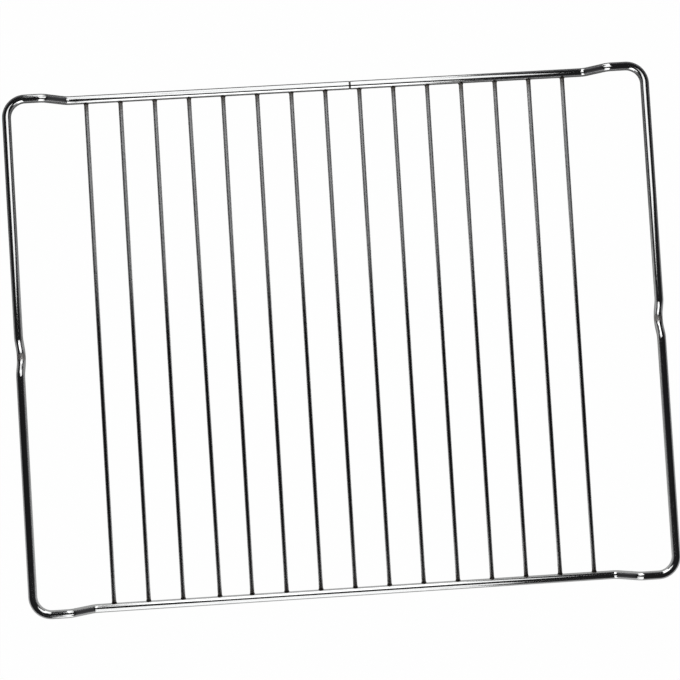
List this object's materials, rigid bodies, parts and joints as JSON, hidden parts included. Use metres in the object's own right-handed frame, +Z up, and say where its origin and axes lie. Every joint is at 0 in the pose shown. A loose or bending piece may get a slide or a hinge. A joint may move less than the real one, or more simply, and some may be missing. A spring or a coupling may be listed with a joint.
{
  "type": "oven shelf rack",
  "caption": "Chromed oven shelf: a rod bent into a rounded rectangle with raised, notched sides and lower long bars, joined by straight cross wires that carry trays.",
  "frame": {"origin": "middle of the rack's outline, on the plane that its two long bars rest on", "axes": "+X along the long bars, to the right seen from the front; +Y to the back of the oven; +Z up"},
  "size_m": [0.45, 0.361, 0.018],
  "materials": {
    "frame_chrome": "bright chrome plating over drawn steel rod, with fine handling marks",
    "wire_chrome": "bright chrome plating over drawn steel wire, duller at the welds"
  },
  "bodies": {
    "root": {"frame_rod": "frame_chrome", "wire_01": "wire_chrome", "wire_02": "wire_chrome", "wire_03": "wire_chrome", "wire_04": "wire_chrome", "wire_05": "wire_chrome", "wire_06": "wire_chrome", "wire_07": "wire_chrome", "wire_08": "wire_chrome", "wire_09": "wire_chrome", "wire_10": "wire_chrome", "wire_11": "wire_chrome", "wire_12": "wire_chrome", "wire_13": "wire_chrome", "wire_14": "wire_chrome", "wire_15": "wire_chrome"}
  },
  "joints": []
}
